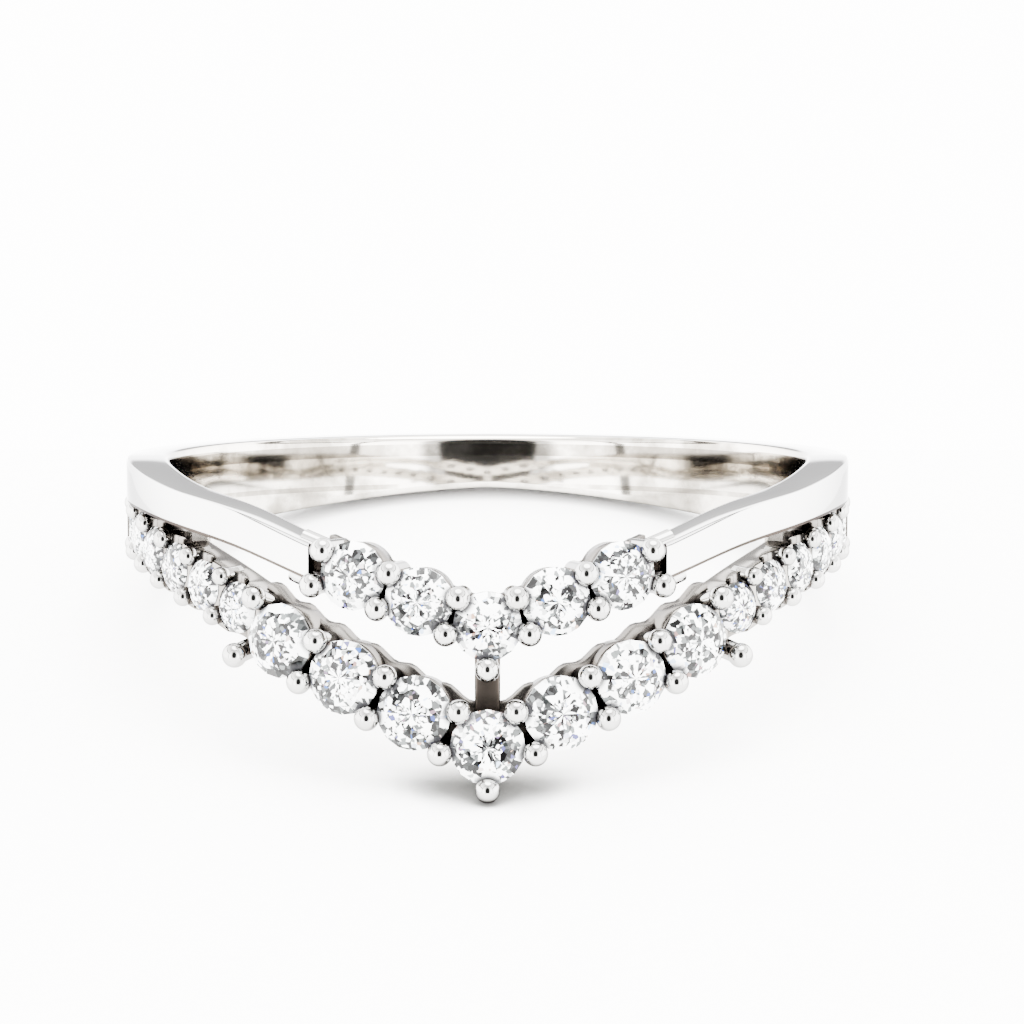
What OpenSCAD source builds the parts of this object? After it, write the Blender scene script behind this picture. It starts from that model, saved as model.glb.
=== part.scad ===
// Double chevron ring of polished white metal, set with round brilliant stones.
// It lies on its side: the point of the chevron and the back of the shank touch the surface.
// In the ring's own frame the finger axis is Z, the front of the ring faces -Y and the
// chevrons point down towards -Z. Angles are counted round the finger from the front.

/* [Finger and shank] */
// Inside diameter of the finger hole
finger_d = 17.0; // [15.5:0.1:19.5]
// Thickness of the plain band
band_t = 1.15; // [1:0.05:1.4]
// Height of the band's upper edge over its middle, at the sides
side_top = 0.75; // [0.65:0.05:0.95]
// Width of the band at the back of the finger
back_w = 1.55; // [1.4:0.05:1.9]
// Height of the plain polished arms
arm_w = 0.97; // [0.85:0.02:1.05]
// Depth of the groove between arm and set shoulder
groove_depth = 0.6; // [0.45:0.05:0.7]
// Bevel on the band's outer edges
edge_bevel = 0.12; // [0.08:0.01:0.16]

/* [Chevrons] */
// How far the centre stone of the upper chevron hangs below the band's middle
upper_drop = 2.94; // [2.8:0.02:3.1]
// How far the centre stone of the lower chevron hangs below the band's middle
lower_drop = 5.97; // [5.9:0.05:6.4]
// Rise of the upper chevron for each degree round the finger
upper_rise = 0.0585; // [0.056:0.0005:0.06]
// Rise of the lower chevron for each degree round the finger
lower_rise = 0.0765; // [0.074:0.0005:0.079]
// Rise of the arms for each degree once they have bent into the shoulder
arm_rise = 0.02; // [0.018:0.001:0.023]
// Rise of the set shoulders for each degree
shoulder_rise = 0.04; // [0.037:0.001:0.042]
// Angle at which the upper chevron bends into the shoulder
upper_bend = 42; // [40:1:44]
// Angle at which the lower chevron bends into the shoulder
lower_bend = 47; // [45:1:49]

/* [Stones] */
// Diameter of the stones in the upper chevron
upper_stone_d = 1.75; // [1.6:0.05:1.8]
// Diameter of the stones in the lower chevron
lower_stone_d = 1.9; // [1.75:0.05:1.95]
// Diameter of the small stones on the shoulders
accent_stone_d = 1.32; // [1.2:0.02:1.36]
// Space between the stones of the upper chevron
upper_space = 0.08; // [0.07:0.01:0.14]
// Space between the stones of the lower chevron
lower_space = 0.13; // [0.08:0.01:0.16]
// Space between the stones of a shoulder
accent_space = 0.1; // [0.08:0.01:0.14]
// Width of a stone's table as a share of its diameter
table_share = 0.57; // [0.53:0.01:0.62]
// Angle of the crown facets
crown_angle = 34.5; // [32:0.5:36]
// Angle of the pavilion facets
pavilion_angle = 41; // [40:0.5:42]
// Thickness of the girdle as a share of the stone's diameter
girdle_share = 0.03; // [0.02:0.005:0.04]
// Clearance between a stone and the metal that holds it
seat_gap = 0.02; // [0.015:0.005:0.03]
// Metal left between a stone's point and the finger
culet_cover = 0.28; // [0.24:0.02:0.34]

/* [Settings] */
// Diameter of the round beads that hold the large stones
bead_d = 0.64; // [0.58:0.02:0.68]
// Diameter of the round beads on the shoulders
accent_bead_d = 0.52; // [0.46:0.02:0.54]
// Distance of a bead from the middle of the upper chevron
upper_reach = 0.47; // [0.44:0.01:0.54]
// Distance of a bead from the middle of the lower chevron
lower_reach = 0.58; // [0.55:0.01:0.64]
// Distance of a bead from the middle of a shoulder
accent_reach = 0.54; // [0.51:0.01:0.56]
// Distance of the bead on each point from the middle of its stone
tip_reach = 1.07; // [1.02:0.01:1.12]
// Width of the rail under the large stones
gallery_w = 1.15; // [1:0.05:1.25]
// Thickness of the rail under the large stones
gallery_t = 0.42; // [0.36:0.02:0.5]
// Width of the set shoulders
shoulder_w = 1.48; // [1.42:0.02:1.54]
// Width of the bridge between the two points
bridge_w = 0.64; // [0.5:0.02:0.7]
// Depth of the scallop beside each shoulder stone
scallop_depth = 0.3; // [0.2:0.02:0.32]

/* [Hidden] */
UPPER_STONES = 5;
LOWER_STONES = 7;
ACCENTS = 6;

METAL = [0.83, 0.83, 0.85];
STONE = [0.9, 0.95, 1];

// Smallest distance by which two surfaces cross, so that none of them lie in one another
LAP = 0.03;
// Far past every surface of the ring
FAR = 12;
// Angle between two sections of a swept form
STEP = 3;
// Angle over which a chevron's straight flank turns into the shoulder
BEND_SOFT = 3.5;
// Angles at which the arms and the shoulders turn level, and over which they do
ARM_LEVEL = 72;
SHOULDER_LEVEL = 80;
LEVEL_SOFT = 5;
// The band's upper edge rises to its height at the sides between these angles
LIFT_FROM = 55;
LIFT_TO = 90;
// The slot between arm and shoulder is open up to the first angle, a groove from the second
SLOT_TO = 56;
GROOVE_FROM = 60;
// Nearer the front than this the band's own lower edge is level, hidden by the shoulder
WALL_FROM = 77;
// How fast the back of the band widens towards the sides
BACK_POWER = 1.45;
// How far the arms sit below the line of the upper stones
ARM_DROP = 0.12;
// Space between the last large stone and the first small one
FIRST_SPACE = 0.16;
// How far a bead's middle lies outside the girdles beside it
BEAD_OUT = 0.17;
ACCENT_BEAD_OUT = 0.1;
// Stem of a prong as a share of its bead
STEM_SHARE = 0.82;
// How far inside the wall of its rail the foot of a prong stands
FOOT_INSIDE = 0.13;
// Where the foot of the prong on a point stands, as a share of its reach
TIP_FOOT_SHARE = 0.6;
// How far the pairs of beads sit below the line of their stones, and at a chevron's end
BEADS_LOW = 0.05;
END_BEADS_LOW = 0.13;
// How much further the beads reach between the last large stone and the first small one
END_REACH = 0.24;
// Gap between the last upper stone and the end of its arm
ARM_GAP = 0.5;
// Width of a cup as a share of its stone, and how far its rim stays below the girdle
CUP_SHARE = 0.96;
CUP_BELOW = 0.2;
// Drilled hole behind a stone as a share of its diameter
DRILL_SHARE = 0.42;
// Corners of a star, and of the lower halves, in the brilliant cut
STAR_SHARE = 0.5;
HALF_SHARE = 0.23;
// Radius of a scallop beside a shoulder stone
SCALLOP_R = 0.42;
// Fan between a point's bead and its neighbours, as shares of the bead's reach
FAN_SHARE = 0.94;

finger_r = finger_d / 2;
band_r = finger_r + band_t;
gallery_in = finger_r + LAP;
gallery_out = gallery_in + gallery_t;

// Distance of a stone's girdle from the finger axis
function girdle_r(d) = finger_r + culet_cover + d / 2 * tan(pavilion_angle) + d * girdle_share / 2;
upper_r = girdle_r(upper_stone_d);
lower_r = girdle_r(lower_stone_d);
accent_r = girdle_r(accent_stone_d);

// Smooth corner: nothing before zero, a straight climb after it
function corner(x, soft) = soft * ln(1 + exp(x / soft));
function corner_slope(x, soft) = 1 / (1 + exp(-x / soft));

// The same angle on the right half of the ring
function fold(a) = a > 180 ? 360 - a : abs(a);

// Height of a row of stones at an angle from the front, and its rise for each degree
function row(a, drop, rise, bend, late_rise, level) =
    -drop + rise * a - (rise - late_rise) * corner(a - bend, BEND_SOFT)
    - late_rise * corner(a - level, LEVEL_SOFT);
function row_rise(a, rise, bend, late_rise, level) =
    rise - (rise - late_rise) * corner_slope(a - bend, BEND_SOFT)
    - late_rise * corner_slope(a - level, LEVEL_SOFT);
function upper_z(a) = row(fold(a), upper_drop, upper_rise, upper_bend, arm_rise, ARM_LEVEL);
function lower_z(a) = row(fold(a), lower_drop, lower_rise, lower_bend, shoulder_rise, SHOULDER_LEVEL);
function upper_slope(a) = sign(a) * row_rise(fold(a), upper_rise, upper_bend, arm_rise, ARM_LEVEL);
function lower_slope(a) =
    sign(a) * row_rise(fold(a), lower_rise, lower_bend, shoulder_rise, SHOULDER_LEVEL);

// Angle at which a row climbs, seen along the finger's radius
function climb(slope, r) = atan2(slope, r * PI / 180);
// The angle on a row that lies a given distance further along it
function further(a, distance, r, slope) = a + distance / norm([r * PI / 180, slope]);

upper_pitch = further(0, upper_stone_d + upper_space, upper_r, upper_rise);
lower_pitch = further(0, lower_stone_d + lower_space, lower_r, lower_rise);
upper_last = upper_pitch * (UPPER_STONES - 1) / 2;
lower_last = lower_pitch * (LOWER_STONES - 1) / 2;

accent_pitch = accent_stone_d + accent_space;
function accent_after(a, distance) = further(a, distance, accent_r, lower_slope(a + 4));
function accent_a(i) =
    i == 1
    ? accent_after(lower_last, (lower_stone_d + accent_stone_d) / 2 + FIRST_SPACE)
    : accent_after(accent_a(i - 1), accent_pitch);
accents = [for (i = [1:ACCENTS]) accent_a(i)];
first_joint = accent_after(lower_last, lower_stone_d / 2 + FIRST_SPACE / 2);
last_joint = accent_after(accents[ACCENTS - 1], accent_pitch / 2);
accent_joints = [for (a = accents) accent_after(a, accent_pitch / 2)];

// Where the plain arms end, just past the last upper stone
arm_from = further(upper_last, upper_stone_d / 2 + ARM_GAP, upper_r, upper_rise);
claw_at = further(upper_last, (upper_stone_d + upper_space) / 2, upper_r, upper_rise);

function ease(t) = let (c = min(1, max(0, t))) c * c * (3 - 2 * c);
function mix(u, v, t) = u * (1 - t) + v * t;

// Edges of the plain band
function arm_mid(a) = upper_z(a) - ARM_DROP;
function arm_low(a) = arm_mid(a) - arm_w / 2;
side_lift = side_top - arm_mid(180) - arm_w / 2;
function band_top(a) =
    arm_mid(a) + arm_w / 2 + side_lift * ease((fold(a) - LIFT_FROM) / (LIFT_TO - LIFT_FROM));
function shoulder_half(a) = shoulder_w / 2 / cos(climb(lower_slope(a), accent_r));
function shoulder_low(a) = lower_z(a) - shoulder_half(a);
function band_low(a) =
    LAP + (
        fold(a) < 90
        ? shoulder_low(max(fold(a), WALL_FROM))
        : mix(side_top - back_w, shoulder_low(90), pow(sin(fold(a)), BACK_POWER))
    );
groove_r = band_r - groove_depth;
function groove_floor(a) =
    a < GROOVE_FROM
    ? mix(finger_r - 1, groove_r, ease((a - SLOT_TO) / (GROOVE_FROM - SLOT_TO)))
    : mix(groove_r, band_r + LAP, ease(a - last_joint));

// A point given by its distance from the finger axis, its angle and its height
function on_ring(r, a, z) = [r * sin(a), -r * cos(a), z];
// Corners of a section: inner and outer radius, lower and upper edge
function section(a, r0, r1, z0, z1) =
    [on_ring(r0, a, z0), on_ring(r1, a, z0), on_ring(r1, a, z1), on_ring(r0, a, z1)];
// Corners of the piece cut from an outer edge at a height, with the band above or below it
function bevel(a, z, above) =
    let (
        r = [band_r - edge_bevel - LAP, band_r + LAP, band_r + LAP],
        in = [-LAP, -LAP, edge_bevel + LAP]
    )
    [for (i = above ? [0, 1, 2] : [2, 1, 0]) on_ring(r[i], a, z + (above ? in[i] : -in[i]))];
function steps(a0, a1) = let (n = ceil((a1 - a0) / STEP)) [for (i = [0:n]) a0 + (a1 - a0) * i / n];
groove = concat(
    steps(arm_from - STEP, SLOT_TO),
    [GROOVE_FROM],
    steps(GROOVE_FROM + STEP, last_joint),
    [last_joint + 1]
);
// The same steps from one side of the ring to the other, through the front
function across(a1) = let (s = steps(0, a1)) concat([for (i = [len(s) - 1:-1:1]) -s[i]], s);

// The ring tips forward until its point and the back of its band touch the surface
tip_z = -lower_drop - tip_reach;
tip_r = lower_r + BEAD_OUT;
function height_at(p, tip) = p[2] * cos(tip) - p[1] * sin(tip);
function lowest_back(tip) =
    min([for (a = [130:2:180]) height_at(on_ring(band_r - edge_bevel, a, band_low(a)), tip)]);
function lowest_tip(tip) = height_at(on_ring(tip_r, 0, tip_z), tip) - bead_d / 2;
function settle(low, high, n) =
    let (mid = (low + high) / 2)
    n == 0 ? mid
    : lowest_tip(mid) < lowest_back(mid) ? settle(mid, high, n - 1)
    : settle(low, mid, n - 1);
rest_tip = settle(10, 30, 30);
rest_front = -tip_r * cos(rest_tip) + tip_z * sin(rest_tip) - bead_d / 2;
rest_back = band_r * cos(rest_tip) + (side_top - edge_bevel) * sin(rest_tip);

// Places the ring's own frame on the surface
module resting() {
    translate([0, -(rest_front + rest_back) / 2, -lowest_tip(rest_tip)]) rotate([-rest_tip, 0, 0])
        children();
}

// A solid through a list of sections that all have as many corners
module sweep(sections) {
    k = len(sections[0]);
    last = (len(sections) - 1) * k;
    polyhedron(
        points = [for (s = sections) each s],
        faces = concat(
            [[for (j = [k - 1:-1:0]) j]],
            [[for (j = [0:k - 1]) last + j]],
            [for (i = [0:k:last - k], j = [0:k - 1]) let (n = (j + 1) % k) [i + j, i + n, i + k + n]],
            [for (i = [0:k:last - k], j = [0:k - 1]) let (n = (j + 1) % k) [i + j, i + k + n, i + k + j]]
        ),
        convexity = 8
    );
}

// Places children on the ring: their Z points away from the finger, their X along the row
module on_row(a, z, slope, r) {
    rotate([0, 0, a]) translate([0, 0, z]) rotate([90, 0, 0]) rotate([0, 0, climb(slope, r)]) children();
}
module on_upper(a) {
    on_row(a, upper_z(a), upper_slope(a), upper_r) children();
}
module on_lower(a) {
    on_row(a, lower_z(a), lower_slope(a), lower_r) children();
}
module on_shoulder(a) {
    on_row(a, lower_z(a), lower_slope(a), accent_r) children();
}
module both_sides() {
    children();
    mirror([1, 0, 0]) children();
}

// Round brilliant cut stone with its girdle at the origin and its table towards +Z
module brilliant(d) {
    r = d / 2;
    belt = d * girdle_share / 2;
    table_r = r * table_share;
    star_r = mix(table_r * cos(22.5), r, STAR_SHARE);
    half_r = r * HALF_SHARE;
    crown = (r - table_r) * tan(crown_angle);
    star_h = (r - star_r * cos(22.5)) * tan(crown_angle);
    half_h = (r - half_r * cos(22.5)) * tan(pavilion_angle);
    star = 8;
    top = 16;
    low = 32;
    half = 48;
    culet = 56;
    points = concat(
        [for (i = [0:7]) [table_r * cos(45 * i), table_r * sin(45 * i), belt + crown]],
        [for (i = [0:7]) [star_r * cos(45 * i + 22.5), star_r * sin(45 * i + 22.5), belt + star_h]],
        [for (i = [0:15]) [r * cos(22.5 * i), r * sin(22.5 * i), belt]],
        [for (i = [0:15]) [r * cos(22.5 * i), r * sin(22.5 * i), -belt]],
        [for (i = [0:7]) [half_r * cos(45 * i + 22.5), half_r * sin(45 * i + 22.5), -belt - half_h]],
        [[0, 0, -belt - r * tan(pavilion_angle)]]
    );
    // table, stars, kites, upper halves, girdle, lower halves, pavilion mains
    faces = concat(
        [[for (i = [7:-1:0]) i]],
        [for (i = [0:7]) [i, (i + 1) % 8, star + i]],
        [for (i = [0:7]) [i, star + i, top + 2 * i, star + (i + 7) % 8]],
        [for (i = [0:7]) [star + i, top + 2 * i + 1, top + 2 * i]],
        [for (i = [0:7]) [star + i, top + (2 * i + 2) % 16, top + 2 * i + 1]],
        [for (i = [0:15]) [top + i, top + (i + 1) % 16, low + (i + 1) % 16, low + i]],
        [for (i = [0:7]) [half + i, low + 2 * i, low + 2 * i + 1]],
        [for (i = [0:7]) [half + i, low + 2 * i + 1, low + (2 * i + 2) % 16]],
        [for (i = [0:7]) [half + i, culet, half + (i + 7) % 8, low + 2 * i]]
    );
    polyhedron(points = points, faces = faces, convexity = 2);
}

// Room for a stone: its outline grown by the seat's clearance, and a drilled hole behind it
module stone_room(d) {
    r = d / 2 + seat_gap;
    belt = d * girdle_share / 2 + seat_gap;
    table_r = r * table_share;
    crown = (r - table_r) * tan(crown_angle);
    drill_r = d / 2 * DRILL_SHARE;
    rotate_extrude($fn = 48) polygon([
        [0, belt + crown + 1],
        [table_r, belt + crown + 1],
        [table_r, belt + crown],
        [r, belt],
        [r, -belt],
        [drill_r, -belt - (r - drill_r) * tan(pavilion_angle)],
        [drill_r, -2],
        [0, -2],
    ]);
}

// A prong that leans from its foot on the rail and ends in a round bead
module prong(bead, foot, reach, foot_r, bead_r) {
    translate([0, foot, foot_r]) rotate([-atan2(reach - foot, bead_r - foot_r), 0, 0])
        cylinder(h = norm([reach - foot, bead_r - foot_r]), d = bead * STEM_SHARE, $fn = 24);
    translate([0, reach, bead_r]) sphere(d = bead, $fn = 32);
}
module large_prongs(reach, bead_r, low, spread = 0) {
    translate([0, -low, 0]) for (side = [0, 1]) mirror([0, side, 0])
        prong(bead_d, gallery_w / 2 - FOOT_INSIDE + spread, reach + spread, gallery_in + LAP, bead_r);
}
module small_prongs() {
    foot_r = accent_r - scallop_depth;
    for (side = [0, 1]) mirror([0, side, 0])
        prong(accent_bead_d, shoulder_w / 2 - FOOT_INSIDE, accent_reach, foot_r, accent_r + ACCENT_BEAD_OUT);
}

// The round cup behind a large stone
module cup(d, seat_r) {
    translate([0, 0, gallery_in + LAP / 2])
        cylinder(h = seat_r - CUP_BELOW - gallery_in - LAP / 2, d = d * CUP_SHARE, $fn = 48);
}

// The prong and the fan-shaped plate at a chevron's point
module point(seat_r, pitch, reach, rise) {
    mirror([0, 1, 0])
        prong(bead_d, tip_reach * TIP_FOOT_SHARE, tip_reach, gallery_in + LAP, seat_r + BEAD_OUT);
    side_x = seat_r * sin(pitch / 2);
    side_y = rise * pitch / 2 - reach;
    translate([0, 0, gallery_in + LAP]) linear_extrude(seat_r - CUP_BELOW - 2 * LAP - gallery_in)
        polygon([[0, -tip_reach], [side_x, side_y], [side_x / 2, 0], [-side_x / 2, 0], [-side_x, side_y]]);
}

// A swept rail under a row of large stones
module gallery(angles, height, slope) {
    sweep([
        for (a = angles) let (half = gallery_w / 2 / cos(climb(slope, gallery_out)))
            section(a, gallery_in, gallery_out, height(a) - half, height(a) + half)
    ]);
}

// The arm's end forks into two claws that run to the last pair of beads
module claws() {
    reach_out = (arm_from - claw_at) * PI / 180 * upper_r + ARM_GAP / 2;
    claw_d = bead_d * STEM_SHARE - LAP;
    for (side = [-1, 1])
        translate([0, side * upper_reach - END_BEADS_LOW, band_r - claw_d / 2 - 4 * LAP])
        rotate([0, 90, 0]) cylinder(h = reach_out, d = claw_d, $fn = 24);
}

module upper_chevron() {
    gallery(across(arm_from + 1), function(a) upper_z(a), upper_rise);
    for (i = [0:UPPER_STONES - 1]) on_upper(i * upper_pitch - upper_last) cup(upper_stone_d, upper_r);
    on_row(0, -upper_drop, 0, upper_r) point(upper_r, upper_pitch, upper_reach, upper_rise);
    both_sides() {
        for (i = [0.5:UPPER_STONES / 2 - 1])
            on_upper(i * upper_pitch) large_prongs(upper_reach, upper_r + BEAD_OUT, BEADS_LOW);
        on_upper(claw_at) {
            large_prongs(upper_reach, upper_r + BEAD_OUT, END_BEADS_LOW);
            claws();
        }
    }
}

module lower_chevron() {
    gallery(across(first_joint), function(a) lower_z(a), lower_rise);
    for (i = [0:LOWER_STONES - 1]) on_lower(i * lower_pitch - lower_last) cup(lower_stone_d, lower_r);
    on_row(0, -lower_drop, 0, lower_r) point(lower_r, lower_pitch, lower_reach, lower_rise);
    both_sides() {
        for (i = [0.5:LOWER_STONES / 2 - 1])
            on_lower(i * lower_pitch) large_prongs(lower_reach, lower_r + BEAD_OUT, BEADS_LOW);
        on_lower(first_joint)
            large_prongs(lower_reach, lower_r + BEAD_OUT, END_BEADS_LOW, END_REACH);
    }
}

// The short bridge that ties the two points together behind the settings
module bridge() {
    top = -upper_drop - tip_reach / 2;
    on_row(0, -lower_drop, 0, lower_r) translate([-bridge_w / 2, 0, gallery_in + LAP])
        cube([bridge_w, top + lower_drop, gallery_t + 0.1]);
}

// Shoulder set with small stones
module shoulder() {
    out = accent_r + LAP;
    difference() {
        sweep([
            for (a = steps(first_joint - 1, last_joint)) let (half = shoulder_half(a))
                section(a, gallery_in, out, lower_z(a) - half, lower_z(a) + half)
        ]);
        for (a = accents) on_shoulder(a) translate([0, 0, out - scallop_depth + SCALLOP_R])
            rotate([90, 0, 0]) cylinder(h = shoulder_w + 0.2, r = SCALLOP_R, center = true, $fn = 32);
    }
    for (a = accent_joints) on_shoulder(a) small_prongs();
}

// Plain band with the two arms
module shank() {
    round_back = steps(arm_from - STEP, 360 - arm_from + STEP);
    difference() {
        rotate_extrude($fn = 180) translate([finger_r, -FAR / 3]) square([band_t, FAR / 2]);
        sweep([for (a = round_back) section(a, finger_r - 1, FAR, band_top(a), FAR)]);
        sweep([for (a = round_back) section(a, finger_r - 1, FAR, -FAR, band_low(a))]);
        sweep([for (a = round_back) bevel(a, band_top(a), false)]);
        sweep([for (a = steps(last_joint, 360 - last_joint)) bevel(a, band_low(a), true)]);
        both_sides() sweep([for (a = groove) section(a, groove_floor(a), FAR, -FAR, arm_low(a))]);
        sweep([for (a = across(arm_from)) section(a, finger_r - 1, FAR, -FAR, FAR)]);
    }
}

module band() {
    color(METAL) difference() {
        union() {
            shank();
            upper_chevron();
            lower_chevron();
            bridge();
            both_sides() shoulder();
        }
        for (i = [0:UPPER_STONES - 1])
            on_upper(i * upper_pitch - upper_last) translate([0, 0, upper_r]) stone_room(upper_stone_d);
        for (i = [0:LOWER_STONES - 1])
            on_lower(i * lower_pitch - lower_last) translate([0, 0, lower_r]) stone_room(lower_stone_d);
        both_sides() for (a = accents)
            on_shoulder(a) translate([0, 0, accent_r]) stone_room(accent_stone_d);
    }
}

module upper_stone(i) {
    color(STONE) on_upper((i - 1) * upper_pitch - upper_last) translate([0, 0, upper_r])
        brilliant(upper_stone_d);
}

module lower_stone(i) {
    color(STONE) on_lower((i - 1) * lower_pitch - lower_last) translate([0, 0, lower_r])
        brilliant(lower_stone_d);
}

module accent(i) {
    color(STONE) on_shoulder(accents[i - 1]) translate([0, 0, accent_r]) brilliant(accent_stone_d);
}

resting() band();
for (i = [1:UPPER_STONES])
    resting() upper_stone(i);
for (i = [1:LOWER_STONES])
    resting() lower_stone(i);
for (i = [1:ACCENTS])
    resting() mirror([1, 0, 0]) accent(i);
for (i = [1:ACCENTS])
    resting() accent(i);
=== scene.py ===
"""Double chevron ring in polished white metal, set with round brilliant stones."""

from math import atan2, ceil, cos, exp, hypot, log, pi, radians, sin, tan

import bmesh
import bpy
from mathutils import Matrix, Vector


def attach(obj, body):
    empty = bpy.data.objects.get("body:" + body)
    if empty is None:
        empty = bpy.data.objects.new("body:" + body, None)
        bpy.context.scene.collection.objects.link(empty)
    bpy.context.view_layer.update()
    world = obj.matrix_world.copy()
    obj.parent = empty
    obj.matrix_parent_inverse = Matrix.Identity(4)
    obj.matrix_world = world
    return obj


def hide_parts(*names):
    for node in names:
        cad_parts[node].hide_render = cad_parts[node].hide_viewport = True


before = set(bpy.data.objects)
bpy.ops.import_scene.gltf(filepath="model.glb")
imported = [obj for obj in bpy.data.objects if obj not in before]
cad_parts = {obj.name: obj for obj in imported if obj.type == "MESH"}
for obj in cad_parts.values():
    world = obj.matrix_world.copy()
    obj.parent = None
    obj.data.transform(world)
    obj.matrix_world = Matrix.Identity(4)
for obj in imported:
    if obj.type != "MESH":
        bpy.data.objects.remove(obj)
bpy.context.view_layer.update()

# The band
# A cast shank of polished white gold whose two plain arms run forward over the shoulders.
# Its outer edges carry a narrow polished bevel and its inner edges are rounded for comfort.
# It is one casting with the settings; the ring lies tipped forward on its chevron points.
# Sizes are in mm, places along the ring in degrees from its front, rises in mm for a degree.

MM = 0.001
FINGER_R, BAND_R = 8.5, 9.65
SIDE_TOP = 0.75
BACK_W = 1.55
BACK_CURVE = 1.45
ARM_W, ARM_END = 0.97, 27.9
ARM_UNDER = 0.12
LIFT_FROM, LIFT_OVER = 55, 35
LOW_STEP = 0.03
UPPER_DROP, UPPER_RISE = 2.94, 0.0585
LOWER_DROP, LOWER_RISE = 5.97, 0.0765
BEND_SOFT, LEVEL_SOFT = 3.5, 5
SHOULDER_HALF, SHOULDER_R, SHOULDER_END = 0.74, 9.37, 88.6

REST_TIP = radians(18.778704)
REST = Matrix.Translation((0, 1.264788, 3.829107)) @ Matrix.Rotation(-REST_TIP, 4, "X")


def corner(x, soft):
    """A bend from level to a rise of one, rounded over a soft length."""
    return soft * log(1 + exp(x / soft))


def ease(t):
    t = min(1, max(0, t))
    return t * t * (3 - 2 * t)


def row(a, drop, rise, bend, late_rise, level):
    """The height of a chevron: steep from its point, gentler after the bend, then level."""
    return (-drop + rise * a - (rise - late_rise) * corner(a - bend, BEND_SOFT)
            - late_rise * corner(a - level, LEVEL_SOFT))


def upper_z(a):
    return row(abs(a), UPPER_DROP, UPPER_RISE, bend=42, late_rise=0.02, level=72)


def lower_z(a):
    return row(abs(a), LOWER_DROP, LOWER_RISE, bend=47, late_rise=0.04, level=80)


def slope_of(height, a):
    return (height(abs(a) + 0.5) - height(abs(a) - 0.5)) * (1 if a > 0 else -1)


def lower_slope(a):
    return slope_of(lower_z, a)


def climb(slope, r):
    """The angle of a row on the ring's cylinder."""
    return atan2(slope, r * pi / 180)


def arm_mid(a):
    return upper_z(a) - ARM_UNDER


def band_top(a):
    lift = SIDE_TOP - arm_mid(180) - ARM_W / 2
    return arm_mid(a) + ARM_W / 2 + lift * ease((a - LIFT_FROM) / LIFT_OVER)


def shoulder_half(a):
    return SHOULDER_HALF / cos(climb(lower_slope(a), SHOULDER_R))


def shoulder_low(a):
    return lower_z(a) - shoulder_half(a)


def band_low(a):
    if a < SHOULDER_END:
        return arm_mid(a) - ARM_W / 2
    if a < 90:
        return shoulder_low(a) + LOW_STEP
    share = sin(radians(a)) ** BACK_CURVE
    return LOW_STEP + (SIDE_TOP - BACK_W) * (1 - share) + shoulder_low(90) * share


def mesh_of(name, bm):
    mesh = bpy.data.meshes.new(name)
    bm.to_mesh(mesh)
    bm.free()
    return mesh


def add_object(name, data):
    made = bpy.data.objects.new(name, data)
    bpy.context.scene.collection.objects.link(made)
    return made


def smooth(mesh):
    mesh.polygons.foreach_set("use_smooth", [True] * len(mesh.polygons))
    mesh.set_sharp_from_angle(angle=radians(32))


def to_rest(bm):
    bmesh.ops.transform(bm, matrix=Matrix.Scale(MM, 4) @ REST, verts=bm.verts)


def piece(name, bm):
    """Lays a finished shape down with the ring and hands it to the frame."""
    bmesh.ops.remove_doubles(bm, verts=bm.verts, dist=1e-5)
    bmesh.ops.recalc_face_normals(bm, faces=bm.faces)
    to_rest(bm)
    mesh = mesh_of(name, bm)
    smooth(mesh)
    made = add_object(name, mesh)
    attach(made, "root")
    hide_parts("band")
    return made


def profile(bm, r0, r1, outer, inner):
    """A cross-section 1 mm wide in the YZ plane, bevelled outside and rounded towards the finger."""
    corners = ((r0, -0.5), (r1, -0.5), (r1, 0.5), (r0, 0.5))
    face = bm.faces.new([bm.verts.new((0, -r, z)) for r, z in corners])
    for near, width, segments in ((r1, outer, 2), (r0, inner, 5)):
        soft = [v for v in face.verts if abs(-v.co.y - near) < 1e-6]
        bmesh.ops.bevel(bm, geom=soft, offset=width, offset_type="OFFSET", affect="VERTICES",
                        segments=segments, profile=0.5, material=-1)
        bm.faces.ensure_lookup_table()
        face = bm.faces[0]
    return face


def spin_along(bm, face, start, end, step, place):
    """Spins a section round the finger, then lays each point on its path."""
    bmesh.ops.rotate(bm, matrix=Matrix.Rotation(radians(start), 3, "Z"), verts=face.verts[:])
    steps = ceil((end - start) / step)
    bmesh.ops.spin(bm, geom=[face], cent=(0, 0, 0), axis=(0, 0, 1), angle=radians(end - start),
                   steps=steps, use_merge=False, use_duplicate=False)
    for v in bm.verts:
        a = (atan2(v.co.x, -v.co.y) * 180 / pi - start + 1e-4) % 360 + start - 1e-4
        r, z = place(hypot(v.co.x, v.co.y), a, v.co.z)
        v.co = r * sin(radians(a)), -r * cos(radians(a)), z
    bmesh.ops.holes_fill(bm, edges=[e for e in bm.edges if e.is_boundary], sides=0)


def fold(a):
    """The same angle on the right half of the ring."""
    return 360 - a if a > 180 else abs(a)


def on_band(r, a, z):
    a = fold(a)
    return r, band_top(a) - (0.5 - z) if z > 0 else band_low(a) + (z + 0.5)


bm = bmesh.new()
spin_along(bm, profile(bm, FINGER_R, BAND_R, 0.12, 0.2), ARM_END, 360 - ARM_END, 0.8, on_band)
# painted shade: the lower bevel, which faces the setting, takes a near-black copy of the metal, a painted
# dark line of shade and mirrored dark along the arm's lower edge
bm.normal_update()
painted_dark_edge = bm.faces.layers.int.new("painted_dark_edge")
for f in bm.faces:
    middle = f.calc_center_median()
    outward = Vector((middle.x, middle.y, 0)).normalized()
    under = middle.z < arm_mid(fold(atan2(middle.x, -middle.y) * 180 / pi))
    bevelled = 0.2 < abs(f.normal.dot(outward)) < 0.97
    f[painted_dark_edge] = int(under and bevelled and hypot(middle.x, middle.y) > BAND_R - 0.15)
band = piece("band_shank", bm)

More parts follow.
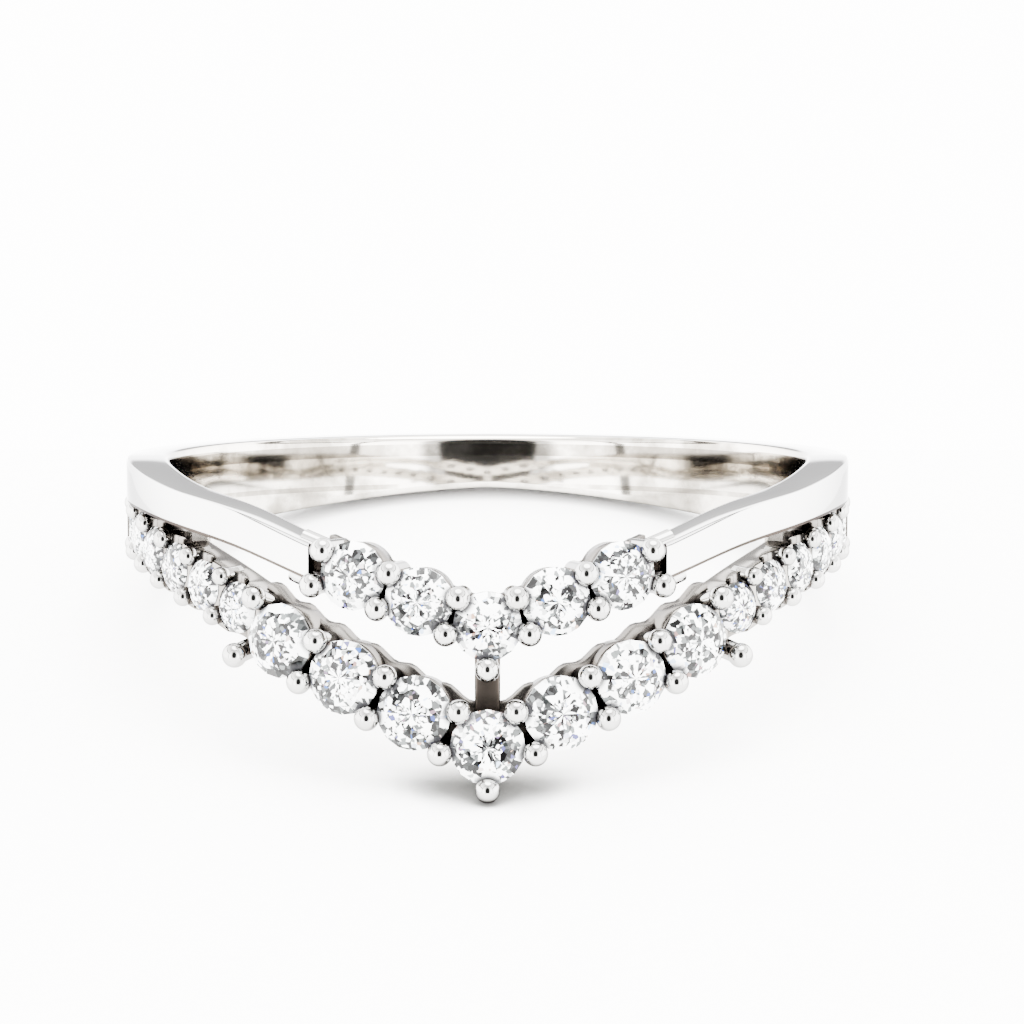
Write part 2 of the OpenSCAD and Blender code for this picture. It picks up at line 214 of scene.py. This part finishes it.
# The metal is rhodium-plated white gold with a buffed mirror polish: nearly neutral, with the
# faint long waves that buffing leaves, and hairlines that only show in the highlights.


class Value:
    """A shader socket that takes part in Python arithmetic."""

    def __init__(self, tree, socket):
        self.tree, self.socket = tree, socket

    def maths(self, operation, *others):
        inputs = {0: self, **dict(enumerate(others, 1))}
        return add_node(self.tree, "ShaderNodeMath", {"operation": operation}, inputs)

    def __add__(self, other):
        return self.maths("ADD", other)

    def __sub__(self, other):
        return self.maths("SUBTRACT", other)

    def __mul__(self, other):
        return self.maths("MULTIPLY", other)

    def __neg__(self):
        return self.maths("MULTIPLY", -1)

    def __rsub__(self, other):
        return -self + other

    __radd__ = __add__
    __rmul__ = __mul__

    def above(self, other):
        return self.maths("GREATER_THAN", other)

    def below(self, other):
        return self.maths("LESS_THAN", other)

    def near(self, other, reach):
        return (self - other).maths("ABSOLUTE").below(reach)

    def fade(self, start, end, first, last):
        """Goes smoothly from the first level to the last while the value goes from start to end."""
        return add_node(self.tree, "ShaderNodeMapRange", {"interpolation_type": "SMOOTHSTEP"},
                        {0: self, 1: start, 2: end, 3: first, 4: last})

    def sibling(self, name):
        """Another output of the same node."""
        return Value(self.tree, self.socket.node.outputs[name])

    def split(self):
        parts = add_node(self.tree, "ShaderNodeSeparateXYZ", {}, {0: self})
        return [parts.sibling(axis) for axis in "XYZ"]

    def feed(self, node, name):
        self.tree.links.new(self.socket, node.inputs[name])


def add_node(tree, kind, settings, inputs, output=0):
    """Any shader node: its settings first, then the values or links of its sockets."""
    node = tree.nodes.new(kind)
    for name, value in settings.items():
        if name == "stops":
            ramp = node.color_ramp
            while len(ramp.elements) < len(value):
                ramp.elements.new(0.5)
            for stop, (at, colour) in zip(ramp.elements, value):
                stop.position, stop.color = at, (*colour, 1)
        else:
            setattr(node, name, value)
    for name, value in inputs.items():
        if isinstance(value, Value):
            value.feed(node, name)
        else:
            node.inputs[name].default_value = value
    return Value(tree, node.outputs[output])


def ramp_of(value, *stops):
    return add_node(value.tree, "ShaderNodeValToRGB", {"stops": stops}, {"Fac": value}, "Color")


def noise(vector, **sockets):
    return add_node(vector.tree, "ShaderNodeTexNoise", {}, {"Vector": vector, **sockets}, "Fac")


def blend(factor, a, b):
    inputs = {"Factor": factor, "A": a, "B": b}
    return add_node(factor.tree, "ShaderNodeMix", {"data_type": "RGBA"}, inputs, 2)


def crevice(tree, distance, samples=8):
    """Low where other surfaces stand close by."""
    return add_node(tree, "ShaderNodeAmbientOcclusion", {"samples": samples}, {"Distance": distance}, "AO")


def new_material(name, settings):
    made = bpy.data.materials.new(name)
    made.use_nodes = True
    tree = made.node_tree
    shader = tree.nodes["Principled BSDF"]
    for socket, value in settings.items():
        shader.inputs[socket].default_value = value
    return made, tree, shader


def white_gold(name, dark, light, roughness):
    made, tree, shader = new_material(name, {"Metallic": 1.0, "Specular Tint": (0.45, 0.45, 0.46, 1)})
    place = add_node(tree, "ShaderNodeTexCoord", {}, {}, "Object")
    ring = add_node(tree, "ShaderNodeMapping", {"vector_type": "TEXTURE"}, {
        "Vector": place, "Location": REST.translation * MM, "Rotation": (-REST_TIP, 0, 0),
        "Scale": (MM, MM, MM)})
    x, y, z = ring.split()
    waves = noise(ring, Scale=0.26, Detail=2.0)
    hair = add_node(tree, "ShaderNodeMapping", {}, {
        "Vector": ring, "Rotation": (0.3, 0.2, 0.6), "Scale": (0.9, 0.9, 14)})
    hairlines = noise(hair, Scale=1.0, Detail=3.0)
    tone = ramp_of(waves, (0.3, dark), (0.7, light))
    # inside the finger hole the polish is a little duller, and the wall's colour is a painted reflection:
    # dark bands along the wall, lighter in its middle and at its ends, broken into random blotches
    blotch = noise(ring, Scale=0.8, Detail=4.0, Roughness=0.6)
    painted_reflection_bands = z.near(0.33, 0.17) + z.near(-0.7, 0.07) * 0.7
    aside = x.maths("ABSOLUTE")
    painted_reflection_level = blotch * 0.8 + 0.09 + aside.fade(2.0, 5.0, 0.22, 0.0) + aside.fade(5.4, 7.6, 0.0, 0.2)
    # painted reflection: the colours of the inner wall, from dark to light beige
    painted_inner_reflection = ramp_of(painted_reflection_level - painted_reflection_bands * 0.2,
                   (0.20, (0.10, 0.09, 0.076)), (0.37, (0.17, 0.155, 0.133)),
                   (0.50, (0.30, 0.278, 0.243)), (0.64, (0.62, 0.585, 0.53)))
    inside = (x * x + y * y).maths("SQRT").below(FINGER_R + 0.1)
    # residue of the polish and painted shade darken the crevices between prongs, cups and stones, wherever
    # other surfaces stand close
    painted_shade_and_residue = crevice(tree, 0.0005).fade(0.25, 0.8, 0.9, 0.0) * (inside * -0.85 + 1)
    blend(painted_shade_and_residue, blend(inside, tone, painted_inner_reflection), (0.055, 0.046, 0.04, 1)).feed(shader, "Base Color")
    (roughness + hairlines * 0.05 + inside * 0.02).feed(shader, "Roughness")
    add_node(tree, "ShaderNodeBump", {}, {
        "Strength": 0.05, "Distance": 0.00002, "Height": waves * 0.8 + hairlines * 0.05},
        "Normal").feed(shader, "Normal")
    return made


def finish(made, *metals):
    made.data.materials.clear()
    for metal in metals:
        made.data.materials.append(metal)


polished = white_gold("polished_white_gold", (0.50, 0.497, 0.49), (0.58, 0.577, 0.57), 0.03)
# a near-black copy of the white gold, painted shade for the band's lower bevel and for the bridge
painted_shade_metal = white_gold("painted_shade_white_gold", (0.022, 0.018, 0.015), (0.06, 0.05, 0.043), 0.3)
finish(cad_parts["band"], polished)
finish(band, polished, painted_shade_metal)
# the faces of the lower bevel take the near-black copy: a painted dark line
for face, skin in zip(band.data.polygons, band.data.attributes["painted_dark_edge"].data):
    face.material_index = skin.value

# Open settings of the two chevrons
# Each large stone sits in a round cast cup that stands on a narrow rail along the finger.
# The cups are open behind the stone, so light comes in through the hole below its point.
# The buff doesn't reach the rails and cups, which keep a satin finish; their dark colour is painted shade.

PAVILION, CROWN = tan(radians(41)), tan(radians(34.5))
GIRDLE_SHARE, TABLE_SHARE = 0.015, 0.57
CULET_UP = 0.28
CULET_HOLE_SHARE = 0.21
STONE_GAP = 0.02
UPPER_D, LOWER_D, ACCENT_D = 1.75, 1.9, 1.32
UPPER_APART, LOWER_APART, ACCENT_APART = 0.08, 0.13, 0.1
RAIL_R, RAIL_TOP_R, RAIL_HALF = 8.53, 8.95, 0.575
LOWER_CREST = 0.84
UPPER_RAIL_END = 26.5
FOOT_R = 8.56
POINT_REACH = 1.07
UPPER_REACH, LOWER_REACH = 0.47, 0.58


def girdle_r(d):
    return FINGER_R + CULET_UP + d / 2 * PAVILION + d * GIRDLE_SHARE


def on_row(a, z, slope, r):
    """Where a stone or prong stands: Z points away from the finger, X runs along the row."""
    return (Matrix.Rotation(radians(a), 4, "Z") @ Matrix.Translation((0, 0, z))
            @ Matrix.Rotation(pi / 2, 4, "X") @ Matrix.Rotation(climb(slope, r), 4, "Z"))


def on_upper(a):
    return on_row(a, upper_z(a), slope_of(upper_z, a) if a else 0, UPPER_R)


def on_lower(a):
    return on_row(a, lower_z(a), lower_slope(a) if a else 0, LOWER_R)


UPPER_R, LOWER_R, ACCENT_R = girdle_r(UPPER_D), girdle_r(LOWER_D), girdle_r(ACCENT_D)
UPPER_PITCH = (UPPER_D + UPPER_APART) / hypot(UPPER_R * pi / 180, UPPER_RISE)
LOWER_PITCH = (LOWER_D + LOWER_APART) / hypot(LOWER_R * pi / 180, LOWER_RISE)
UPPER_AT = [i * UPPER_PITCH for i in (-2, -1, 0, 1, 2)]
LOWER_AT = [i * LOWER_PITCH for i in (-3, -2, -1, 0, 1, 2, 3)]


def join(bm, other):
    """Adds one finished shell to another shape."""
    mesh = mesh_of("shell", other)
    bm.from_mesh(mesh)
    bpy.data.meshes.remove(mesh)


def lathe(bm, outline, place, steps, closed=True):
    """Turns an outline of (radius, height) about the axis of a seat."""
    made = bmesh.new()
    ring = [made.verts.new((x, 0, z)) for x, z in outline]
    edges = [made.edges.new(ends) for ends in zip(ring, ring[1:] + (ring[:1] if closed else []))]
    bmesh.ops.spin(made, geom=edges + ring, cent=(0, 0, 0), axis=(0, 0, 1), angle=2 * pi,
                   steps=steps, use_merge=True, use_duplicate=False)
    bmesh.ops.remove_doubles(made, verts=made.verts, dist=1e-5)
    bmesh.ops.recalc_face_normals(made, faces=made.faces)
    bmesh.ops.transform(made, matrix=place, verts=made.verts)
    join(bm, made)


def cup(bm, d, seat_r, place):
    r, hole = d * 0.48, d * CULET_HOLE_SHARE
    top = seat_r - 0.2
    seat = d / 2 + STONE_GAP - (seat_r - d * GIRDLE_SHARE - STONE_GAP - top) / PAVILION
    hole_at = top - (seat - hole) * PAVILION
    lathe(bm, [
        (hole, FOOT_R), (hole, hole_at), (seat, top), (seat + 0.02, top + 0.012),
        (r - 0.05, top + 0.012), (r - 0.015, top - 0.015), (r, top - 0.05), (r - 0.02, top - 0.35),
        (r - 0.05, FOOT_R + 0.05), (r - 0.08, FOOT_R)], place, 40)


def stone_room(bm, d, place):
    """The room that a stone takes, open to the front and to the finger."""
    r, hole = d / 2 + STONE_GAP, d * CULET_HOLE_SHARE
    belt = d * GIRDLE_SHARE + STONE_GAP
    table = r * TABLE_SHARE
    table_up = belt + (r - table) * CROWN
    lathe(bm, [
        (0, table_up + 1), (table, table_up + 1), (table, table_up), (r, belt), (r, -belt),
        (hole, -belt - (r - hole) * PAVILION), (hole, -2), (0, -2)], place, 32, closed=False)


def hollow(made, seats, on_seat, d, seat_r):
    """Cuts the rooms of a row of stones out of a piece that is already laid down."""
    rooms = bmesh.new()
    for a in seats:
        stone_room(rooms, d, on_seat(a) @ Matrix.Translation((0, 0, seat_r)))
    to_rest(rooms)
    cutter = add_object("rooms", mesh_of("rooms", rooms))
    cut = made.modifiers.new("rooms", "BOOLEAN")
    cut.object, cut.operation, cut.solver = cutter, "DIFFERENCE", "EXACT"
    cut.use_self = True
    bpy.context.view_layer.update()
    made.data = bpy.data.meshes.new_from_object(
        made.evaluated_get(bpy.context.evaluated_depsgraph_get()))
    made.modifiers.clear()
    smooth(made.data)
    bpy.data.objects.remove(cutter)


def gallery(bm, end, crest, height, slope):
    """A rounded rail that follows a row from side to side, with a crease at the point."""
    made = bmesh.new()

    def on_rail(r, a, z):
        a = a if a < 180 else a - 360
        steep = cos(climb(slope, RAIL_TOP_R))
        scallop = (crest - RAIL_HALF) * 0.25 * cos(radians(a) * 58)
        edge = (crest + scallop) / steep - 0.5 if z > 0 else 0.5 - RAIL_HALF / steep
        return r, height(a) + edge + z

    # an even number of steps puts one of them on the point
    steps = 2 * ceil(end)
    spin_along(made, profile(made, RAIL_R, RAIL_TOP_R, 0.08, 0.06), -end, end, 2 * end / steps, on_rail)
    bmesh.ops.recalc_face_normals(made, faces=made.faces)
    join(bm, made)


def fan(bm, seat_r, pitch, reach, rise, drop):
    """The flat fan-shaped plate under a point, from the last bead to the pair beside it."""
    made = bmesh.new()
    x, y = seat_r * sin(radians(pitch / 2)), rise * pitch / 2 - reach
    outline = (0, -POINT_REACH), (x, y), (x / 2, 0), (-x / 2, 0), (-x, y)
    flat = made.faces.new([made.verts.new((px, py, FOOT_R)) for px, py in outline])
    grown = bmesh.ops.extrude_face_region(made, geom=[flat])["geom"]
    bmesh.ops.translate(made, vec=(0, 0, seat_r - 0.23 - FOOT_R),
                        verts=[v for v in grown if isinstance(v, bmesh.types.BMVert)])
    bmesh.ops.recalc_face_normals(made, faces=made.faces)
    bmesh.ops.bevel(made, geom=made.edges[:], offset=0.03, offset_type="OFFSET", affect="EDGES",
                    segments=2, profile=0.5, material=-1)
    bmesh.ops.transform(made, matrix=on_row(0, -drop, 0, seat_r), verts=made.verts)
    join(bm, made)


def accent_after(a, distance):
    """The place on the shoulder that lies so far behind another one."""
    return a + distance / hypot(ACCENT_R * pi / 180, lower_slope(a + 4))


# the first pair of beads of the shoulder stands past the last large stone
FIRST_JOINT = accent_after(LOWER_AT[-1], LOWER_D / 2 + 0.08)

bm = bmesh.new()
gallery(bm, UPPER_RAIL_END, RAIL_HALF, upper_z, UPPER_RISE)
fan(bm, UPPER_R, UPPER_PITCH, UPPER_REACH, UPPER_RISE, UPPER_DROP)
upper_rail = piece("upper_rail", bm)
hollow(upper_rail, UPPER_AT, on_upper, UPPER_D, UPPER_R)

bm = bmesh.new()
gallery(bm, FIRST_JOINT, LOWER_CREST, lower_z, LOWER_RISE)
fan(bm, LOWER_R, LOWER_PITCH, LOWER_REACH, LOWER_RISE, LOWER_DROP)
lower_rail = piece("lower_rail", bm)
hollow(lower_rail, LOWER_AT, on_lower, LOWER_D, LOWER_R)

bm = bmesh.new()
for a in UPPER_AT:
    cup(bm, UPPER_D, UPPER_R, on_upper(a))
for a in LOWER_AT:
    cup(bm, LOWER_D, LOWER_R, on_lower(a))
cups = piece("cups", bm)

# a dark copy of the white gold with a satin roughness: painted shade on the rails and cups
satin_painted_shade = white_gold("satin_painted_shade_gold", (0.075, 0.069, 0.063), (0.16, 0.150, 0.138), 0.2)
for made in (upper_rail, lower_rail, cups):
    finish(made, satin_painted_shade)

# Set shoulders
# Behind the last large stones the lower row goes on as a plain-walled rail with six small
# seats a side. A round scallop is filed beside every stone, which leaves towers between them.
# The seats are cut with burs; the shoulders take one darker colour of the metal, which is painted shade.

ACCENT_PITCH = ACCENT_D + ACCENT_APART
FIRST_APART = 0.16
SCALLOP_R, SCALLOP_UP = 0.42, 0.12
GROOVE_R, GROOVE_START = 9.05, 57.5

ACCENT_AT = [accent_after(LOWER_AT[-1], (LOWER_D + ACCENT_D) / 2 + FIRST_APART)]
while len(ACCENT_AT) < 6:
    ACCENT_AT.append(accent_after(ACCENT_AT[-1], ACCENT_PITCH))
ACCENT_JOINTS = [accent_after(a, ACCENT_PITCH / 2) for a in ACCENT_AT]


def on_shoulder(a):
    return on_row(a, lower_z(a), lower_slope(a), ACCENT_R)


def shoulder(name, side):
    out = ACCENT_R + 0.03

    def on_rail(r, a, z):
        top = out
        for at in ACCENT_AT:
            away = (a - at) * hypot(ACCENT_R * pi / 180, lower_slope(at))
            if abs(away) < SCALLOP_R:
                top = min(top, out + SCALLOP_UP - (SCALLOP_R**2 - away**2) ** 0.5)
        # only the outer wall of the rail is filed
        r = min(r, r - out + top) if r > (RAIL_R + out) / 2 else r
        half = shoulder_half(a)
        return r, lower_z(a) + (half - 0.5 if z > 0 else 0.5 - half) + z

    bm = bmesh.new()
    section = profile(bm, RAIL_R, out, 0.06, 0.05)
    spin_along(bm, section, FIRST_JOINT - 1, ACCENT_JOINTS[-1] + 0.3, 0.2, on_rail)

    def on_floor(r, a, z):
        if z > 0:
            return r, arm_mid(a) - ARM_W / 2 + 0.2 + z - 0.5
        return r, shoulder_low(a) + 0.06 + z + 0.5

    # the groove between the shoulder and the arm has a blind floor
    floor = bmesh.new()
    section = profile(floor, FINGER_R + 0.01, GROOVE_R, 0.03, 0.03)
    spin_along(floor, section, GROOVE_START, ACCENT_JOINTS[-1] + 0.5, 1, on_floor)
    bmesh.ops.recalc_face_normals(floor, faces=floor.faces)
    join(bm, floor)
    if side < 0:
        bmesh.ops.scale(bm, vec=(-1, 1, 1), verts=bm.verts)
    made = piece(name, bm)
    hollow(made, [side * a for a in ACCENT_AT], on_shoulder, ACCENT_D, ACCENT_R)
    return made


# a darker copy of the white gold: painted shade on the shoulders
shoulder_painted_shade = white_gold("shoulder_painted_shade_gold", (0.16, 0.15, 0.138), (0.27, 0.257, 0.24), 0.12)
finish(shoulder("shoulder_right", 1), shoulder_painted_shade)
finish(shoulder("shoulder_left", -1), shoulder_painted_shade)

# Prongs and beads
# Round wires rise from the rails, lean over the girdles and end in balls that were burnished
# round. The arms fork into two such claws, and each chevron's point has a single one.

BEAD_D, SMALL_BEAD_D = 0.64, 0.5
WIRE_SHARE = 0.82
BEAD_UP = 0.17
PAIR_LOW, END_PAIR_LOW = 0.05, 0.13
PAIR_FOOT = 0.445
POINT_FOOT = 0.642
END_SPREAD = 0.24
FORK_R, FORK_LENGTH = 9.31, 0.78


def ball(bm, d, place):
    made = bmesh.new()
    bmesh.ops.create_uvsphere(made, u_segments=28, v_segments=18, radius=d / 2)
    bmesh.ops.transform(made, matrix=place, verts=made.verts)
    join(bm, made)


def wire(bm, start, end, d0, d1, place):
    """A tapered round wire between two points of a seat's own frame."""
    made = bmesh.new()
    start, end = Vector(start), Vector(end)
    bmesh.ops.create_cone(made, cap_ends=True, segments=24, radius1=d0 / 2, radius2=d1 / 2,
                          depth=(end - start).length)
    turn = (end - start).to_track_quat("Z", "Y").to_matrix().to_4x4()
    bmesh.ops.transform(made, matrix=place @ Matrix.Translation((start + end) / 2) @ turn, verts=made.verts)
    join(bm, made)


def prong(bm, d, foot, reach, foot_r, bead_r, place):
    wire(bm, (0, foot, foot_r), (0, reach, bead_r), d * WIRE_SHARE, d * WIRE_SHARE, place)
    ball(bm, d, place @ Matrix.Translation((0, reach, bead_r)))


def pair(bm, reach, bead_r, low, place, spread=0):
    for side in (1, -1):
        prong(bm, BEAD_D, side * PAIR_FOOT - low, side * (reach + spread) - low, FOOT_R, bead_r, place)


bm = bmesh.new()
for side in (1, -1):
    for i in (0.5, 1.5):
        pair(bm, UPPER_REACH, UPPER_R + BEAD_UP, PAIR_LOW, on_upper(side * i * UPPER_PITCH))
    at = side * (UPPER_AT[-1] + UPPER_PITCH / 2)
    pair(bm, UPPER_REACH, UPPER_R + BEAD_UP, END_PAIR_LOW, on_upper(at))
    # the fork of the arm
    for way in (1, -1):
        y = way * UPPER_REACH - END_PAIR_LOW
        wire(bm, (0, y, FORK_R), (side * FORK_LENGTH, y * 0.94, FORK_R - 0.04), 0.5, 0.52, on_upper(at))
    for i in (0.5, 1.5, 2.5):
        pair(bm, LOWER_REACH, LOWER_R + BEAD_UP, PAIR_LOW, on_lower(side * i * LOWER_PITCH))
    pair(bm, LOWER_REACH, LOWER_R + BEAD_UP, END_PAIR_LOW, on_lower(side * FIRST_JOINT), END_SPREAD)
for drop, seat_r in ((UPPER_DROP, UPPER_R), (LOWER_DROP, LOWER_R)):
    prong(bm, BEAD_D, -POINT_FOOT, -POINT_REACH, FOOT_R, seat_r + BEAD_UP, on_row(0, -drop, 0, seat_r))
prongs = piece("prongs", bm)

bm = bmesh.new()
for side in (1, -1):
    for a in ACCENT_JOINTS:
        for way in (1, -1):
            prong(bm, SMALL_BEAD_D, way * 0.6, way * 0.55, ACCENT_R - 0.5, ACCENT_R + 0.1,
                  on_shoulder(side * a))
small_prongs = piece("small_prongs", bm)

# a darker copy of the polished white gold: painted shade on the prongs and beads
prong_painted_shade = white_gold("prong_painted_shade_gold", (0.34, 0.335, 0.325), (0.44, 0.435, 0.425), 0.03)
for made in (prongs, small_prongs):
    finish(made, prong_painted_shade)

# Bridge between the points
# A short square bar is all that ties the two points together. It is cast with them and set back
# behind the settings; its near-black colour is painted shade.

BRIDGE_W, BRIDGE_DEPTH, BRIDGE_R = 0.64, 0.52, 8.82

bm = bmesh.new()
length = LOWER_DROP - UPPER_DROP - POINT_REACH / 2
bmesh.ops.create_cube(bm, size=1)
bmesh.ops.scale(bm, vec=(BRIDGE_W, length, BRIDGE_DEPTH), verts=bm.verts)
bmesh.ops.bevel(bm, geom=bm.edges[:], offset=0.06, offset_type="OFFSET", affect="EDGES", segments=3,
                profile=0.5, material=-1)
stand = on_row(0, -LOWER_DROP, 0, LOWER_R) @ Matrix.Translation((0, length / 2, BRIDGE_R))
bmesh.ops.transform(bm, matrix=stand, verts=bm.verts)
# the bridge takes the near-black copy of the white gold as painted shade
finish(piece("bridge", bm), painted_shade_metal)

# Stones
# Round brilliants of clear crystal. Their colour is a painted reflection of what the pavilion facets mirror
# through the crown: light and dark in a star of small wedges round the table, with rare painted blue and
# amber fire.


def crystal(name, centre, turn, seed, r):
    made, tree, shader = new_material(name, {
        "Metallic": 0.0, "Roughness": 0.02, "IOR": 1.45, "Specular IOR Level": 0.25})
    place = add_node(tree, "ShaderNodeTexCoord", {}, {}, "Object")
    local = add_node(tree, "ShaderNodeMapping", {"vector_type": "TEXTURE"}, {
        "Vector": place, "Location": centre, "Rotation": turn, "Scale": (r, r, r)})
    x, y, _ = local.split()
    away = (x * x + y * y).maths("SQRT")
    angle = y.maths("ARCTAN2", x)
    # the painted reflection falls into sixteen wedges, cut across by the zigzag edges of star, kite and
    # girdle
    zigzag = angle.maths("PINGPONG", pi / 8) * (8 / pi)
    reach = away + (noise(local, Scale=2.2, Detail=1.0) - 0.5) * 0.12
    bands = (reach.above(0.16 + zigzag * 0.20) + reach.above(0.46 - zigzag * 0.10)
             + reach.above(0.58 + zigzag * 0.10) + reach.above(0.82 - zigzag * 0.08))
    wedge = ((angle + pi) * (8 / pi) + bands * 0.5 + 0.02).maths("FLOOR")
    key = add_node(tree, "ShaderNodeCombineXYZ", {}, {"X": wedge, "Y": bands, "Z": seed})
    facet = add_node(tree, "ShaderNodeTexWhiteNoise", {"noise_dimensions": "3D"}, {"Vector": key}, "Value")
    # inside each facet the painted reflection of the crown breaks into slivers
    shifted = add_node(tree, "ShaderNodeCombineXYZ", {}, {
        "X": x + wedge * 0.37, "Y": y + bands * 0.53, "Z": seed})
    slivers = add_node(tree, "ShaderNodeTexVoronoi", {"feature": "F1"}, {
        "Vector": shifted, "Scale": 8.0, "Randomness": 1.0}, "Color")
    chance = add_node(tree, "ShaderNodeSeparateColor", {}, {0: slivers})
    mixed = facet * 0.5 + chance.sibling("Red") * 0.5
    # painted reflection: each facet and sliver is coloured from black to white; a few take painted blue and
    # amber fire
    painted_shading = ramp_of(mixed, (0.25, (0.002, 0.002, 0.002)), (0.33, (0.009, 0.010, 0.010)),
                    (0.41, (0.034, 0.036, 0.037)), (0.49, (0.105, 0.115, 0.115)),
                    (0.56, (0.92, 0.93, 0.93)))
    painted_fire = ramp_of(mixed, (0.0, (0.01, 0.10, 0.34)), (0.4, (0.06, 0.05, 0.16)),
                   (0.5, (0.30, 0.15, 0.07)), (1.0, (0.08, 0.42, 0.85)))
    coloured = blend(chance.sibling("Green").above(0.94) * 0.7, painted_shading, painted_fire)
    # painted shade: next to a bead the stone's colour is darkened where the metal stands close, for its
    # shadow and the dark underside of the metal it mirrors
    painted_bead_shade = crevice(tree, 0.00022).fade(0.55, 0.85, 0.92, 0.0)
    blend(painted_bead_shade, coloured, (0.03, 0.03, 0.033, 1)).feed(shader, "Base Color")
    return made


for name, seats, on_seat, d, seat_r, seed, next_seed in (
        ("upper_stone", UPPER_AT, on_upper, UPPER_D, UPPER_R, 3.1, 1.37),
        ("lower_stone", LOWER_AT, on_lower, LOWER_D, LOWER_R, 17.3, 2.11),
        ("accent_right", ACCENT_AT, on_shoulder, ACCENT_D, ACCENT_R, 41.7, 1.93),
        ("accent_left", [-a for a in ACCENT_AT], on_shoulder, ACCENT_D, ACCENT_R, 67.9, 2.71)):
    for i, a in enumerate(seats):
        stone = f"{name}_{i + 1}"
        at = REST @ on_seat(a) @ Matrix.Translation((0, 0, seat_r))
        finish(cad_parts[stone], crystal(
            stone + "_crystal", at.translation * MM, at.to_euler("XYZ"), seed + i * next_seed, d / 2 * MM))

# Sheet, light and camera
# A white paper sheet under soft white light from all round, as in a catalogue photograph. The
# metal mirrors a grey cloth, the seams of the tent and the opening for the lens.

SHEET_HALF, SHEET_STRETCH, SHEET_Y = 0.0165, 2.2, -0.0235
FRONT_Y = -0.004

bm = bmesh.new()
bmesh.ops.create_grid(bm, x_segments=1, y_segments=1, size=SHEET_HALF)
stretch = Matrix.Diagonal((1, SHEET_STRETCH, 1, 1))
bmesh.ops.transform(bm, matrix=Matrix.Translation((0, SHEET_Y, 0)) @ stretch, verts=bm.verts)
floor = add_object("floor", mesh_of("floor", bm))
paper, tree, shader = new_material("white_paper", {"Roughness": 0.9, "Specular IOR Level": 0.0})
place = add_node(tree, "ShaderNodeTexCoord", {}, {}, "Object")
fibres = noise(place, Scale=3000.0, Detail=3.0)
white = ramp_of(fibres, (0.3, (0.925, 0.925, 0.92)), (0.7, (0.945, 0.945, 0.94)))
# painted shadow: round the points that touch it the paper's colour is darkened where the ring stands close,
# but only in front of the line FRONT_Y
front = place.split()[1].below(FRONT_Y)
painted_shading = crevice(tree, 0.0014, 16).fade(0.45, 0.96, 0.9, 0.0) * front
blend(painted_shading, white, (0.05, 0.05, 0.045, 1)).feed(shader, "Base Color")
finish(floor, paper)

world = bpy.data.worlds.new("studio")
bpy.context.scene.world = world
world.use_nodes = True
tree = world.node_tree
backdrop = tree.nodes["Background"]
left, back, up = add_node(tree, "ShaderNodeTexCoord", {}, {}, "Generated").split()


def away_from(to_back, to_up, sideways):
    """How far a direction lies from one in the middle plane."""
    b, u = back - to_back, up - to_up
    return (left * left * sideways + b * b + u * u).maths("SQRT")


# the tent is bright all round and dimmer overhead; low down behind the ring hangs a grey cloth
overhead = up.fade(0.35, 0.95, 1.0, 0.3)
cloth = away_from(0.985, 0.115, 0.6).fade(0.19, 0.26, 0.17, 1.0)
# the opening for the lens: black in the middle, with the dim room round it
from_lens = away_from(-0.923, 0.384, 2.2)
lens = from_lens.fade(0.45, 0.50, 0.012, 1.0)
room = from_lens.fade(0.56, 0.70, 0.2, 1.0)
# the frame of the front opening: two posts and a lintel
azimuth = left.maths("ARCTAN2", -back).maths("ABSOLUTE")
post = azimuth.near(0.93, 0.035) * up.below(0.9)
lintel = up.near(0.9, 0.012) * azimuth.below(0.96)
# the seam between the walls of the tent and the sheet
seam = up.near(0.55, 0.05) * azimuth.above(0.9)
frame_line = 1 - (post + lintel + seam).maths("MINIMUM", 1) * 0.93

MIRRORED_LEVEL, DIFFUSE_LEVEL, SEEN_EXTRA = 18.0, 12.0, 2.6
ray = add_node(tree, "ShaderNodeLightPath", {}, {})
mirrored, seen = ray.sibling("Is Glossy Ray"), ray.sibling("Is Camera Ray")
tent = overhead * cloth * lens * room * frame_line * MIRRORED_LEVEL
(mirrored * tent + (1 - mirrored) * DIFFUSE_LEVEL + seen * SEEN_EXTRA).feed(backdrop, "Strength")
backdrop.inputs["Color"].default_value = (1.0, 0.995, 0.985, 1)

disc = bpy.data.lights.new("overhead", "AREA")
disc.shape, disc.size, disc.energy = "DISK", 0.25, 3.0
lamp = add_object("overhead", disc)
lamp.location = 0.02, 0.05, 0.30
lamp.rotation_euler = (-lamp.location).to_track_quat("-Z", "Y").to_euler()

CAMERA_UP, CAMERA_FAR = radians(4), 135
PHOTO_W, PIXELS_PER_MM = 1024, 37.3
SENSOR = 36
camera = add_object("camera", bpy.data.cameras.new("camera"))
bpy.context.scene.camera = camera
camera.matrix_world = (
    Matrix.Translation(REST.translation * MM) @ Matrix.Rotation(-REST_TIP + pi / 2 - CAMERA_UP, 4, "X")
    @ Matrix.Translation((0, 0, CAMERA_FAR * MM)))
camera.data.sensor_width = SENSOR
camera.data.lens = SENSOR * PIXELS_PER_MM * CAMERA_FAR / PHOTO_W
camera.data.shift_x, camera.data.shift_y = 24.5 / PHOTO_W, -30 / PHOTO_W
camera.data.clip_start, camera.data.clip_end = 0.01, 5
